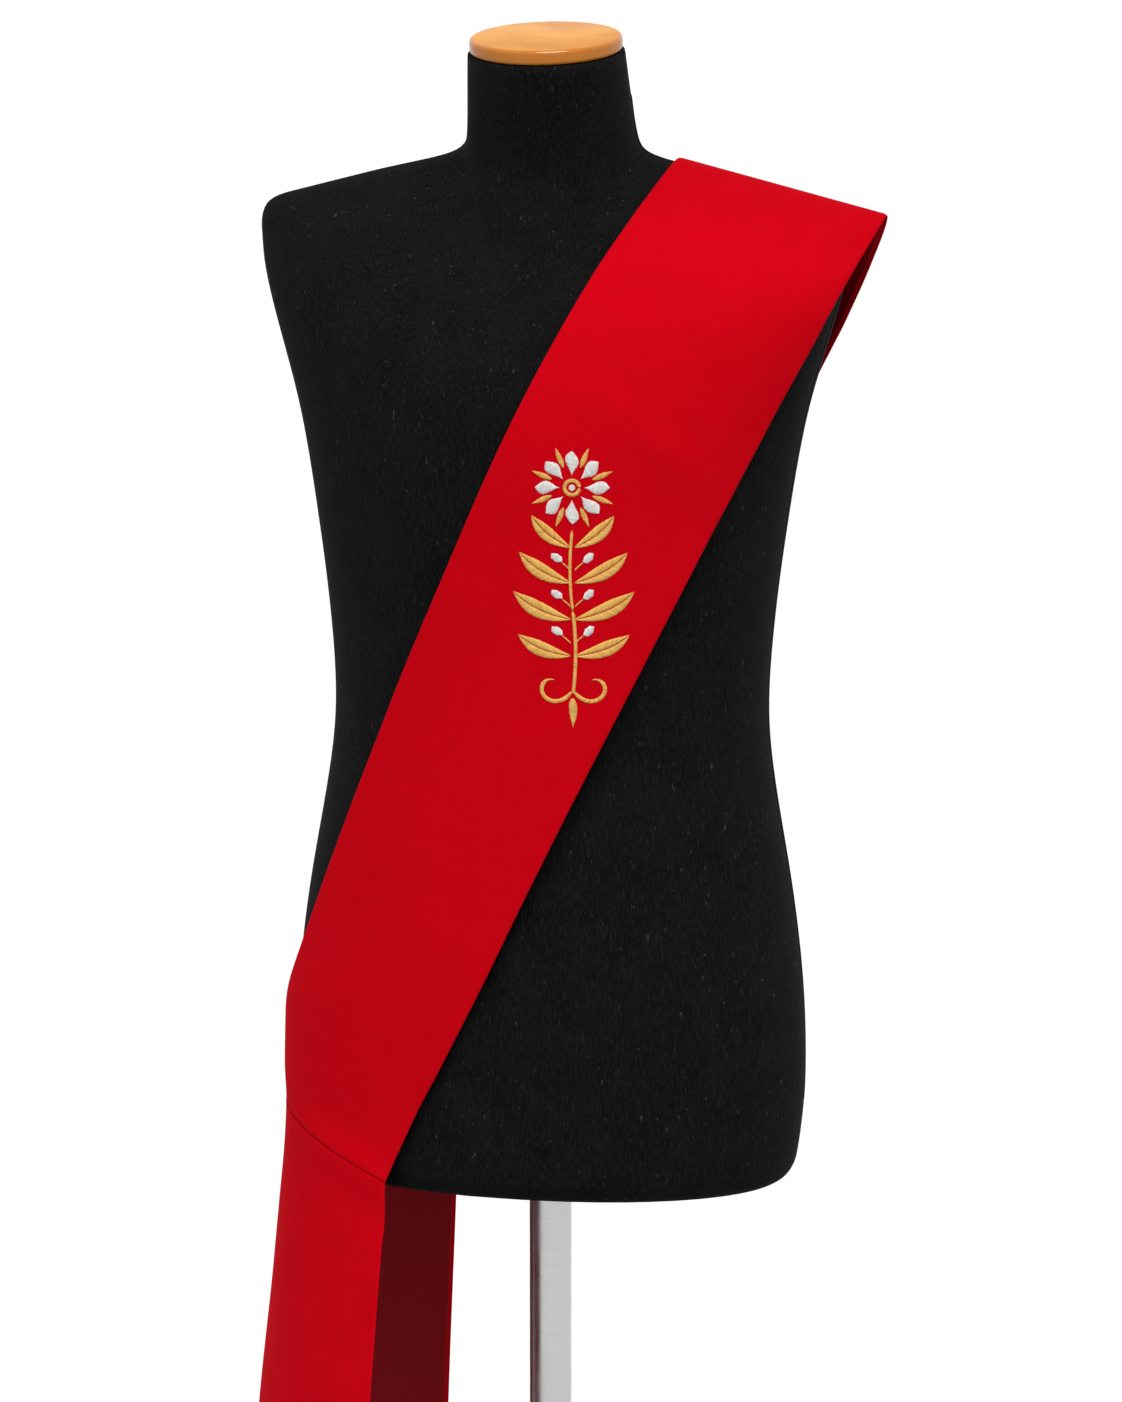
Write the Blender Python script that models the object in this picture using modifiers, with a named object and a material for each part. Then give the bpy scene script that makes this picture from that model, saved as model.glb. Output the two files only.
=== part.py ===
"""A clerical stole worn crosswise on a limbless dress form, for Blender 4.5.

The stole goes from the left shoulder to the right hip, in front and behind. Two bands meet
on top of the shoulder and at the side of the hip, and a tail hangs from each band's mitre.
The form is a covered torso with a wooden neck cap, on a pole and a round base.
Units are metres, +Z is up, the figure faces -Y, and the origin is at the centre of the
base's underside. Tables and sizes are in millimetres and are multiplied by MM.
"""

from collections import namedtuple
import math

import bmesh
import bpy
from mathutils import Vector

MM = 0.001
COLLECTION_NAME = "clerical_stole_on_dress_form"
CRISP_ANGLE = 40                 # degrees: sharper edges than this are not shaded smooth

# The stole
CLOTH = 2.2                      # face cloth, interlining and lining together
SEAM_GAP = 0.3
COLUMNS = 8                      # strips across a band or a tail
ROLL_STEPS = 8                   # rows from the top of the shoulder to where it falls straight
FALL_STEPS = 28                  # rows from there to the mitre
TAIL_STEPS = 16
SEAM_STEPS = 2                   # roll steps from the shoulder's ridge back to the seam
SETTLE_ROUNDS = 6                # rounds that bring a point to its height on the sloping shoulder
HEM_HEIGHT = 215
HEM_SIDE_TURN = -84.0            # degrees round the body from the centre front
HEM_FRONT_TURN = -30.0
HEM_FLATNESS = 0.6               # 0 keeps the hips' curve at the hem, 1 makes the hem straight

# The line on top of the left shoulder that the stole lies over
RIDGE_X = 90
RIDGE_HEIGHT = 1489.6
RIDGE_SLOPE = 0.25               # fall for each millimetre outwards
ROLL = 80                        # depth below the ridge over which the cloth rounds the shoulder

# What the stole's underside lies round: the ellipse at each height
Lay = namedtuple("Lay", "height centre half_width front back")
LAY = (
    Lay(200, 0, 245, 160, 162),
    Lay(400, 0, 238, 154, 156),
    Lay(520, 0, 229, 147, 149),
    Lay(640, 0, 216, 136, 138),
    Lay(760, 0, 203.5, 125, 127),
    Lay(800, 0, 204.5, 124, 128),
    Lay(860, 0, 202, 125, 130),
    Lay(920, 1, 195, 127, 129),
    Lay(1000, 3, 190, 129, 126),
    Lay(1120, 6, 188, 132, 120),
    Lay(1220, 8, 192, 137, 119),
    Lay(1300, 10, 210, 139, 120),
    Lay(1370, 12, 244, 122, 108),
    Lay(1410, 12, 266, 97, 91),
    Lay(1450, 12, 286, 66, 66),
    Lay(1490, 12, 298, 49, 49),
    Lay(1600, 12, 298, 49, 49),
)
HIP_DEPTH = 125                  # the ellipse's depth where the side seam is

SIDE_TURN = -90 + math.degrees(SEAM_GAP / 2 / HIP_DEPTH)    # half a gap short of the side

# Where a band's two edges lie: the drop below the shoulder's line, and the turn in degrees
# round the body from the centre front, of the outer edge and of the inner edge across from it.
# An inner edge that would pass the side follows the side seam down instead.
Band = namedtuple("Band", "outer_drop outer_turn inner_drop inner_turn")
BAND = (
    Band(0, 61.2, 0, 18.3),
    Band(44, 60.5, 39, 14.9),
    Band(104, 60.0, 84, 11.3),
    Band(174, 56.6, 139, 6.8),
    Band(254, 46.4, 211, -0.6),
    Band(354, 31.0, 309, -12.8),
    Band(454, 16.4, 409, -26.2),
    Band(554, 3.0, 511, -40.4),
    Band(654, -9.5, 616, -57.3),
    Band(708, -16.5, 672, -68.4),
    Band(752, -22.6, 714, -79.5),
    Band(784, -26.7, 748, -90.0),
    Band(805.5, -28.9, 790, -104.5),
)

# The dress form: each ring's size, how full its corners are (2 is an ellipse), the radius of
# the neck that rises through it, and its forward tilt in degrees
FORM_SIDES = 56
FORM_STEPS = 2                   # rings made for each row of the table
NECK_BLEND = 8                   # how tightly the neck's foot curves into the shoulders
SIDE_CROWDING = 0.6              # how much closer the sides' points stand
Form = namedtuple("Form", "height centre half_width front back fullness neck tilt")
FORM = (
    Form(720, 0, 174, 101, 103, 2.1, 0, 0),
    Form(726, 0, 184, 110, 112, 2.1, 0, 0),
    Form(740, 0, 190, 115, 117, 2.1, 0, 0),
    Form(800, 0, 196, 118, 122, 2.1, 0, 0),
    Form(880, 0, 193, 119, 124, 2.1, 0, 0),
    Form(960, 2, 182, 117, 117, 2.1, 0, 0),
    Form(1060, 5, 165, 114, 102, 2.1, 0, 0),
    Form(1140, 7, 168, 120, 105, 2.1, 0, 0),
    Form(1220, 8, 178, 126, 109, 2.1, 0, 0),
    Form(1300, 10, 191, 126, 110, 2.2, 0, 0),
    Form(1360, 12, 208, 109, 99, 2.4, 0, 0),
    Form(1402, 12, 220, 85, 81, 2.5, 64, 0),
    Form(1433, 12, 225, 61, 62, 2.3, 72, 0),
    Form(1448, 12, 224, 47, 49, 2.1, 72, 0),
    Form(1457, 12, 216, 41, 43, 1.75, 70, 0),
    Form(1463, 12, 193.4, 38, 40, 1.7, 69, 0),
    Form(1469, 12, 170.5, 34, 36, 1.7, 68, 0),
    Form(1481, 12, 122.5, 28, 30, 1.7, 66, 1),
    Form(1494, 10, 63, 26, 26, 1.8, 64.5, 2),
    Form(1511, 5, 40, 26, 26, 2.0, 62.5, 4),
    Form(1541, -5, 30, 26, 26, 2.0, 60, 7),
    Form(1569, -13, 30, 26, 26, 2.0, 58, 8),
)
CAP_RADIUS = 56.5
CAP_THICKNESS = 11
CAP_ROUNDING = 2.5
CAP_SIDES = 48
ROUNDING_SEGMENTS = 3            # of the cap's and the base's rims

# The stand
POLE_RADIUS = 16
POLE_SIDES = 24
BASE_RADIUS = 195
BASE_THICKNESS = 8
BASE_ROUNDING = 2.5
BASE_SIDES = 64
SOCKET = ((40, 0), (40, 4), (24, 10), (21, 42), (19, 44))    # its side: radius and height
REST_GAP = 0.3                   # between pieces that stand on each other
MERGE_DISTANCE = 0.00001         # metres


def clear_scene():
    """Remove every object, so that the file holds this object alone."""
    for item in list(bpy.data.objects):
        bpy.data.objects.remove(item, do_unlink=True)


def add_part(item):
    """Put a finished object in the part's collection, on the stand's point on the floor."""
    parts.objects.link(item)
    item.parent = stand_point


def make_material(name, colour, roughness, metallic=0.0):
    """A Principled material of one colour."""
    material = bpy.data.materials.new(name)
    material.use_nodes = True
    shader = material.node_tree.nodes["Principled BSDF"]
    shader.inputs["Base Color"].default_value = (*colour, 1.0)
    shader.inputs["Roughness"].default_value = roughness
    shader.inputs["Metallic"].default_value = metallic
    return material


def row_at(table, key):
    """The table's row at a value of its first column, on a smooth curve through the rows."""
    key = min(max(key, table[0][0]), table[-1][0])
    low = 0
    while low < len(table) - 2 and table[low + 1][0] < key:
        low += 1
    start, end = table[low], table[low + 1]
    before = table[max(low - 1, 0)]
    after = table[min(low + 2, len(table) - 1)]
    span = end[0] - start[0]
    along = (key - start[0]) / span
    values = []
    for column in range(len(start)):
        leave = (end[column] - before[column]) / (end[0] - before[0]) * span
        arrive = (after[column] - start[column]) / (after[0] - start[0]) * span
        values.append(
            (2 * along**3 - 3 * along**2 + 1) * start[column]
            + (along**3 - 2 * along**2 + along) * leave
            + (3 * along**2 - 2 * along**3) * end[column]
            + (along**3 - along**2) * arrive)
    return type(start)(*values)


def mix(start, end, share):
    """The value that lies this share of the way from start to end."""
    return start + (end - start) * share


def ring_point(turn, height, roll=1.0):
    """A point of the stole's underside at a height; roll is 1 in front, -1 behind."""
    lay = row_at(LAY, height)
    depth = lay.front if roll > 0 else lay.back
    angle = math.radians(turn)
    return Vector((lay.half_width * math.sin(angle),
                   lay.centre - roll * depth * math.cos(angle), height))


def drop_of(sweep):
    """Drop below the shoulder's line at a sweep angle over the shoulder, in radians."""
    sweep = abs(sweep)
    if sweep < math.pi / 2:
        return ROLL * (1 - math.cos(sweep))
    return ROLL * (1 + sweep - math.pi / 2)


def sweep_of(drop):
    """The sweep angle at a drop below the shoulder's line."""
    if drop < ROLL:
        return math.acos(1 - drop / ROLL)
    return drop / ROLL - 1 + math.pi / 2


def draped_point(turn, sweep):
    """A point of the stole's underside: sweep is above 0 in front and below 0 behind."""
    roll = math.sin(max(-math.pi / 2, min(math.pi / 2, sweep)))
    height = RIDGE_HEIGHT
    for _ in range(SETTLE_ROUNDS):
        across = row_at(LAY, height).half_width * math.sin(math.radians(turn))
        height = RIDGE_HEIGHT - RIDGE_SLOPE * (across - RIDGE_X) - drop_of(sweep)
    return ring_point(turn, height, roll)


def band_row(sweep):
    """One row of a band, from its inner edge to its outer edge."""
    band = row_at(BAND, drop_of(sweep))
    side = math.copysign(1.0, sweep)
    inner_sweep = side * sweep_of(band.inner_drop)
    row = []
    for column in range(COLUMNS + 1):
        share = column / COLUMNS
        turn = mix(max(band.inner_turn, SIDE_TURN), band.outer_turn, share)
        row.append(draped_point(turn, mix(inner_sweep, sweep, share)))
    return row


def band_rows(side):
    """All rows of the front band (side 1) or the back band (side -1).

    The front band starts behind the shoulder's line, where the two bands are sewn together.
    """
    step = math.pi / 2 / ROLL_STEPS
    seam = -SEAM_STEPS * step
    if side > 0:
        sweeps = [seam + step * i for i in range(ROLL_STEPS + SEAM_STEPS + 1)]
    else:
        depth = row_at(LAY, RIDGE_HEIGHT).back * math.cos(math.radians(BAND[0].outer_turn))
        sweeps = [seam - SEAM_GAP / depth]
        sweeps += [-step * i for i in range(SEAM_STEPS + 1, ROLL_STEPS + 1)]
    last = sweep_of(BAND[-1].outer_drop)
    for i in range(1, FALL_STEPS + 1):
        sweeps.append(side * mix(math.pi / 2, last, i / FALL_STEPS))
    return [band_row(sweep) for sweep in sweeps]


def tail_rows(side):
    """All rows of the front tail (side 1) or the back tail (side -1), from mitre to hem."""
    mitre = band_row(side * sweep_of(BAND[-1].outer_drop))
    rows = []
    for step in range(TAIL_STEPS + 1):
        along = step / TAIL_STEPS
        row = []
        for column, top in enumerate(mitre):
            share = column / COLUMNS
            start = mix(SIDE_TURN, BAND[-1].outer_turn, share)
            turn = mix(start, mix(HEM_SIDE_TURN, HEM_FRONT_TURN, share), along)
            height = mix(top.z - SEAM_GAP, HEM_HEIGHT, along)
            row.append(ring_point(turn, height, side))
        for column in range(1, COLUMNS):
            straight = row[0].lerp(row[-1], column / COLUMNS)
            row[column] = row[column].lerp(straight, HEM_FLATNESS * along)
        rows.append(row)
    return rows


def mesh_object(name, rows, material, closed=False):
    """An object from rows of points in millimetres; closed rows are capped at both ends."""
    mesh = bpy.data.meshes.new(name)
    shape = bmesh.new()
    grid = [[shape.verts.new(point * MM) for point in row] for row in rows]
    count = len(grid[0])
    for low, high in zip(grid, grid[1:]):
        for column in range(count if closed else count - 1):
            after = (column + 1) % count
            shape.faces.new((low[column], low[after], high[after], high[column]))
    if closed:
        shape.faces.new(grid[0][::-1])
        shape.faces.new(grid[-1])
    shape.to_mesh(mesh)
    shape.free()
    mesh.shade_smooth()
    mesh.set_sharp_from_angle(angle=math.radians(CRISP_ANGLE))
    mesh.materials.append(material)
    item = bpy.data.objects.new(name, mesh)
    add_part(item)
    return item


def make_cloth(name, rows, side, material):
    """A stole piece: its underside's surface, thickened outwards to the whole cloth."""
    if side < 0:
        rows = [row[::-1] for row in rows]
    piece = mesh_object(name, rows[::-1], material)
    wall = piece.modifiers.new("cloth", "SOLIDIFY")
    wall.thickness = CLOTH * MM
    wall.offset = 1.0
    return piece


def form_ring(form):
    """One ring of the torso: a full oval, with the neck's round rising through it."""
    ring = []
    for step in range(FORM_SIDES):
        even = 2 * math.pi * step / FORM_SIDES
        angle = even - SIDE_CROWDING * math.sin(2 * even) / 2
        depth = form.back if math.sin(angle) > 0 else form.front
        oval = (abs(math.cos(angle) / form.half_width) ** form.fullness
                + abs(math.sin(angle) / depth) ** form.fullness) ** (-1 / form.fullness)
        reach = (oval**NECK_BLEND + form.neck**NECK_BLEND) ** (1 / NECK_BLEND)
        forward = reach * math.sin(angle)
        rise = forward * math.tan(math.radians(form.tilt))
        ring.append(Vector((reach * math.cos(angle), form.centre + forward, form.height + rise)))
    return ring


def make_torso(material):
    """The covered torso and neck, one smooth body from the hips to under the neck cap."""
    rings = [form_ring(FORM[0])]
    for low, high in zip(FORM, FORM[1:]):
        for step in range(1, FORM_STEPS + 1):
            height = mix(low.height, high.height, step / FORM_STEPS)
            rings.append(form_ring(row_at(FORM, height)))
    return mesh_object("torso", rings, material, closed=True)


def make_disc(name, radius, height, sides, rounding, centre, material):
    """An upright cylinder, standing on centre, with rounded rims where rounding is given."""
    mesh = bpy.data.meshes.new(name)
    shape = bmesh.new()
    bmesh.ops.create_cone(shape, cap_ends=True, segments=sides, radius1=radius * MM,
                          radius2=radius * MM, depth=height * MM)
    bmesh.ops.translate(shape, verts=shape.verts, vec=(0, 0, height * MM / 2))
    shape.to_mesh(mesh)
    shape.free()
    mesh.shade_smooth()
    mesh.set_sharp_from_angle(angle=math.radians(CRISP_ANGLE))
    mesh.materials.append(material)
    item = bpy.data.objects.new(name, mesh)
    item.location = Vector(centre) * MM
    add_part(item)
    if rounding:
        rim = item.modifiers.new("rim", "BEVEL")
        rim.width = rounding * MM
        rim.segments = ROUNDING_SEGMENTS
        rim.limit_method = "ANGLE"
    return item


def make_neck_cap(material):
    """The turned wooden disc on the neck, tilted forward with it."""
    neck = FORM[-1]
    tilt = math.radians(neck.tilt)
    up = Vector((0, -math.sin(tilt), math.cos(tilt)))
    foot = Vector((0, neck.centre, neck.height)) + up * REST_GAP
    cap = make_disc("neck_cap", CAP_RADIUS, CAP_THICKNESS, CAP_SIDES, CAP_ROUNDING, foot,
                    material)
    cap.rotation_euler = (tilt, 0, 0)
    return cap


def make_socket(material):
    """The turned socket on the base that the pole stands in, a profile swept round."""
    mesh = bpy.data.meshes.new("pole_socket")
    outline = bmesh.new()
    foot = BASE_THICKNESS + REST_GAP
    corners = [(0, SOCKET[-1][1])] + list(SOCKET[::-1]) + [(0, 0)]
    points = [outline.verts.new((radius * MM, 0, (foot + height) * MM))
              for radius, height in corners]
    for above, below in zip(points, points[1:]):
        outline.edges.new((above, below))
    outline.to_mesh(mesh)
    outline.free()
    mesh.materials.append(material)
    socket = bpy.data.objects.new("pole_socket", mesh)
    add_part(socket)
    turned = socket.modifiers.new("turned", "SCREW")
    turned.steps = turned.render_steps = POLE_SIDES
    turned.use_merge_vertices = True
    turned.merge_threshold = MERGE_DISTANCE


def make_stand(steel, enamel):
    """The round base, the socket on it, and the pole up to the torso's underside."""
    make_disc("base_plate", BASE_RADIUS, BASE_THICKNESS, BASE_SIDES, BASE_ROUNDING,
              (0, 0, 0), enamel)
    make_socket(enamel)
    foot = BASE_THICKNESS + SOCKET[-1][1] + 2 * REST_GAP
    make_disc("pole", POLE_RADIUS, FORM[0].height - REST_GAP - foot, POLE_SIDES, 0,
              (0, 0, foot), steel)


clear_scene()
parts = bpy.data.collections.new(COLLECTION_NAME)
bpy.context.scene.collection.children.link(parts)
stand_point = bpy.data.objects.new("stand_point", None)
parts.objects.link(stand_point)

red_cloth = make_material("red_cloth", (0.58, 0.004, 0.011), 0.75)
black_jersey = make_material("black_jersey", (0.012, 0.012, 0.013), 0.85)
varnished_wood = make_material("varnished_wood", (0.78, 0.42, 0.15), 0.35)
black_enamel = make_material("black_enamel", (0.02, 0.02, 0.022), 0.35)
brushed_steel = make_material("brushed_steel", (0.6, 0.6, 0.62), 0.3, 1.0)

make_cloth("front_band", band_rows(1), 1, red_cloth)
make_cloth("back_band", band_rows(-1), -1, red_cloth)
make_cloth("front_tail", tail_rows(1), 1, red_cloth)
make_cloth("back_tail", tail_rows(-1), -1, red_cloth)
make_torso(black_jersey)
make_neck_cap(varnished_wood)
make_stand(brushed_steel, black_enamel)
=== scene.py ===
"""A clerical stole worn crosswise on a limbless dress form, dressed and lit, for Blender 4.5.

The file follows the object from the floor up: the stand, the covered torso, the neck cap, the
stole's four pieces, its lining's stitches and its embroidery, and then the studio round it.
Blender's own units are metres. Tables of the stole's shape are in millimetres, times MM.
"""

from collections import namedtuple
import math

import bmesh
import bpy
from mathutils import Matrix, Vector
from mathutils.bvhtree import BVHTree
import numpy as np


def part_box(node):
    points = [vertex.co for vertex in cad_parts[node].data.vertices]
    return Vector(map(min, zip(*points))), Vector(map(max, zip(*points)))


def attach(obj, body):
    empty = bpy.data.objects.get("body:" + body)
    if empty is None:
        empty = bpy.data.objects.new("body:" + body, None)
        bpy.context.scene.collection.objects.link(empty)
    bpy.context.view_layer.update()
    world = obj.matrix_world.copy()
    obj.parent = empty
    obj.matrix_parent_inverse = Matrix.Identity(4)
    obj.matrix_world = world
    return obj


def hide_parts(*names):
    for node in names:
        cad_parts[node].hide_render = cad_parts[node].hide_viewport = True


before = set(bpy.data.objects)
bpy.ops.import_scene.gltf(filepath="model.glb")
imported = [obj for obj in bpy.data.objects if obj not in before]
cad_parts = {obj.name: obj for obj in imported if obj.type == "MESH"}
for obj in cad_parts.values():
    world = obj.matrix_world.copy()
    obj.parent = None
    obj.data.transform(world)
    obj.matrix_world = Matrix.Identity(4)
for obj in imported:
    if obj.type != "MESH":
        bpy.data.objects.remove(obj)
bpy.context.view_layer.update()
scene = bpy.context.scene


# --------------------------------------------------------------------------------------------
# Base plate: a round plate cut from 8 mm steel, its rims eased on the lathe, then enamelled
# satin black. It lies flat on the floor, and its weight keeps the figure upright.
# --------------------------------------------------------------------------------------------
MERGE_DISTANCE = 0.000001
BASE_EDGE = 0.0025               # how far the plate's rims are rounded
BASE_SIDES = 192
ARC_STEPS = 6                    # points along each rounded corner of a turned outline

Turn = namedtuple("Turn", "radius height rounding")


def softened(outline):
    """The points of a turned outline, each corner that has a rounding made into an arc."""
    points = []
    for i, corner in enumerate(outline):
        here = Vector((corner.radius, corner.height))
        if not corner.rounding:
            points.append(here)
            continue
        back = (Vector(outline[i - 1][:2]) - here).normalized()
        on = (Vector(outline[i + 1][:2]) - here).normalized()
        half = back.angle(on) / 2
        centre = here + (back + on).normalized() * corner.rounding / math.sin(half)
        reach = corner.rounding / math.tan(half)
        start = (here + back * reach - centre).normalized()
        end = (here + on * reach - centre).normalized()
        points += [centre + start.slerp(end, step / ARC_STEPS) * corner.rounding
                   for step in range(ARC_STEPS + 1)]
    return points


def turned_piece(name, outline, sides, material):
    """A turned solid: its outline, from foot to top at the axis, swept round the Z axis."""
    mesh = bpy.data.meshes.new(name)
    shape = bmesh.new()
    corners = [shape.verts.new((point.x, 0.0, point.y)) for point in softened(outline)]
    edges = [shape.edges.new(pair) for pair in zip(corners, corners[1:])]
    bmesh.ops.spin(shape, geom=corners + edges, axis=(0, 0, 1), cent=(0, 0, 0),
                   angle=2 * math.pi, steps=sides)
    bmesh.ops.remove_doubles(shape, verts=shape.verts, dist=MERGE_DISTANCE)
    bmesh.ops.recalc_face_normals(shape, faces=shape.faces)
    shape.verts.index_update()
    # The spin makes its faces in another order each time, so they are put in a fixed one.
    mesh.from_pydata([corner.co for corner in shape.verts], [],
                     sorted([corner.index for corner in face.verts] for face in shape.faces))
    shape.free()
    mesh.shade_smooth()
    mesh.materials.append(material)
    piece = bpy.data.objects.new(name, mesh)
    scene.collection.objects.link(piece)
    return piece


def socket_of(sockets, identifier):
    """A node's socket by its identifier, which is unique where its name may not be."""
    return next(socket for socket in sockets if socket.identifier == identifier)


def add_node(tree, kind, inputs=None, **settings):
    """A node with its settings; each input, by identifier, takes a value or another's output."""
    made = tree.nodes.new(kind)
    for setting, value in settings.items():
        setattr(made, setting, value)
    for identifier, value in (inputs or {}).items():
        socket = socket_of(made.inputs, identifier)
        if isinstance(value, bpy.types.NodeSocket):
            tree.links.new(value, socket)
        else:
            socket.default_value = value
    return made


def new_finish(name, constants):
    """A Principled material with its constants set: the material, its tree and its shader."""
    material = bpy.data.materials.new(name)
    material.use_nodes = True
    tree = material.node_tree
    shader = tree.nodes["Principled BSDF"]
    for title, value in constants.items():
        shader.inputs[title].default_value = value
    return material, tree, shader


def mixed_colour(tree, factor, first, second):
    """A colour between two, by a factor from 0 to 1."""
    mix = add_node(tree, "ShaderNodeMix", {"Factor_Float": factor, "A_Color": first,
                                           "B_Color": second}, data_type="RGBA")
    return socket_of(mix.outputs, "Result_Color")


def ranged(tree, value, low, high, to_low=0.0, to_high=1.0):
    """A value spread from one range to another, and held inside it."""
    spread = add_node(tree, "ShaderNodeMapRange", {
        "Value": value, "From Min": low, "From Max": high, "To Min": to_low, "To Max": to_high})
    return spread.outputs["Result"]


def enamel_finish():
    """Satin black enamel: a faint orange peel, uneven gloss, and bare grey where rims rub."""
    material, tree, shader = new_finish("satin_black_enamel", {"Specular IOR Level": 0.45})
    place = add_node(tree, "ShaderNodeTexCoord").outputs["Object"]
    peel = add_node(tree, "ShaderNodeTexNoise", {"Vector": place, "Scale": 420.0, "Detail": 2.0})
    clouds = add_node(tree, "ShaderNodeTexNoise", {"Vector": place, "Scale": 14.0, "Detail": 5.0})
    flat = add_node(tree, "ShaderNodeVectorMath", {"Vector": place, "Vector_001": (1, 1, 0)},
                    operation="MULTIPLY")
    reach = add_node(tree, "ShaderNodeVectorMath", {"Vector": flat.outputs["Vector"]},
                     operation="LENGTH")
    rim = ranged(tree, reach.outputs["Value"], base_radius - BASE_EDGE, base_radius)
    scuffs = ranged(tree, clouds.outputs["Fac"], 0.52, 0.62)
    worn = add_node(tree, "ShaderNodeMath", {"Value": rim, "Value_001": scuffs},
                    operation="MULTIPLY")
    black = mixed_colour(tree, clouds.outputs["Fac"], (0.006, 0.006, 0.007, 1),
                         (0.012, 0.012, 0.013, 1))
    tree.links.new(mixed_colour(tree, worn.outputs[0], black, (0.09, 0.088, 0.085, 1)),
                   shader.inputs["Base Color"])
    tree.links.new(ranged(tree, clouds.outputs["Fac"], 0.3, 0.7, 0.30, 0.46),
                   shader.inputs["Roughness"])
    relief = add_node(tree, "ShaderNodeBump", {"Height": peel.outputs["Fac"], "Strength": 0.25,
                                               "Distance": 0.0003})
    tree.links.new(relief.outputs["Normal"], shader.inputs["Normal"])
    return material


base_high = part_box("base_plate")[1]
base_radius = base_high.x
enamel = enamel_finish()
base_plate = turned_piece("enamelled_base", (
    Turn(0, 0, 0), Turn(base_radius, 0, BASE_EDGE),
    Turn(base_radius, base_high.z, BASE_EDGE), Turn(0, base_high.z, 0)), BASE_SIDES, enamel)
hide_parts("base_plate")
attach(base_plate, "root")


# --------------------------------------------------------------------------------------------
# Pole socket: a turned flange with a tapering collar, welded to the plate and enamelled with
# it. The pole stands in it.
# --------------------------------------------------------------------------------------------
SOCKET_SIDES = 96
FLANGE_HEIGHT = 0.004
COLLAR_FOOT = (0.024, 0.010)     # radius, and height above the plate
COLLAR_TOP_RADIUS = 0.021
COLLAR_BEAD = 0.002              # height of the turned-in lip at the top

socket_low, socket_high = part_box("pole_socket")
socket_foot = socket_low.z
collar_lip = socket_high.z - COLLAR_BEAD
pole_socket = turned_piece("enamelled_socket", (
    Turn(0, socket_foot, 0),
    Turn(socket_high.x, socket_foot, 0.0006),
    Turn(socket_high.x, socket_foot + FLANGE_HEIGHT, 0.0015),
    Turn(COLLAR_FOOT[0], socket_foot + COLLAR_FOOT[1], 0.006),
    Turn(COLLAR_TOP_RADIUS, collar_lip, 0.0012),
    Turn(COLLAR_TOP_RADIUS - COLLAR_BEAD, socket_high.z, 0.0006),
    Turn(0, socket_high.z, 0)), SOCKET_SIDES, enamel)
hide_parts("pole_socket")
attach(pole_socket, "root")


# --------------------------------------------------------------------------------------------
# Pole: a steel tube, brushed round its girth on the lathe and left bare under clear lacquer.
# It runs from the socket to a boss inside the torso.
# --------------------------------------------------------------------------------------------
POLE_SIDES = 96


def brushed_steel_finish():
    """Bare steel with fine rings of brushing, each a little lighter, darker or rougher."""
    material, tree, shader = new_finish("brushed_steel", {"Metallic": 1.0, "Anisotropic": 0.35})
    place = add_node(tree, "ShaderNodeTexCoord").outputs["Object"]
    rings = add_node(tree, "ShaderNodeMapping", {"Vector": place, "Scale": (14, 14, 2600)})
    brushing = add_node(tree, "ShaderNodeTexNoise", {
        "Vector": rings.outputs["Vector"], "Scale": 1.0, "Detail": 3.0})
    smears = add_node(tree, "ShaderNodeTexNoise", {"Vector": place, "Scale": 22.0, "Detail": 4.0})
    tree.links.new(mixed_colour(tree, brushing.outputs["Fac"], (0.42, 0.42, 0.43, 1),
                                (0.62, 0.62, 0.63, 1)), shader.inputs["Base Color"])
    tree.links.new(ranged(tree, smears.outputs["Fac"], 0.3, 0.7, 0.24, 0.38),
                   shader.inputs["Roughness"])
    relief = add_node(tree, "ShaderNodeBump", {
        "Height": brushing.outputs["Fac"], "Strength": 0.3, "Distance": 0.00005})
    tree.links.new(relief.outputs["Normal"], shader.inputs["Normal"])
    return material


pole_low, pole_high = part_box("pole")
pole = turned_piece("steel_pole", (
    Turn(0, pole_low.z, 0), Turn(pole_high.x, pole_low.z, 0.0004),
    Turn(pole_high.x, pole_high.z, 0.0004), Turn(0, pole_high.z, 0)),
    POLE_SIDES, brushed_steel_finish())
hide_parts("pole")
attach(pole, "root")


# --------------------------------------------------------------------------------------------
# Torso: a moulded shell padded with felt, under a cover of black cotton jersey that is drawn
# over it like a stocking and tucked in under the neck cap and round the hip.
# --------------------------------------------------------------------------------------------
SMOOTHING_LEVELS = 2
HIP_CRISPNESS = 0.3              # of the rim round the torso's flat underside
NECK_CRISPNESS = 0.85            # of the rim under the neck cap
NECK_END_DEPTH = 0.012           # the neck's flat end lies in the top of the torso's box
QUAD_BEND = math.radians(40)     # triangles are paired again where they bend less than this
QUAD_SKEW = math.radians(80)      # and where the quad is no more out of square than this
FLAT_COSINE = 0.9995             # faces this close to a direction belong to a flat end


def merged_ends(shape, direction, height, crispness):
    """Make one face of a flat end, from the faces above a height, and keep its rim crisp."""
    flat = [face for face in shape.faces if face.normal.dot(direction) > FLAT_COSINE
            and all(vert.co.dot(direction) > height for vert in face.verts)]
    crease = shape.edges.layers.float.get("crease_edge")
    for face in bmesh.ops.dissolve_faces(shape, faces=flat)["region"]:
        for edge in face.edges:
            edge[crease] = crispness


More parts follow.
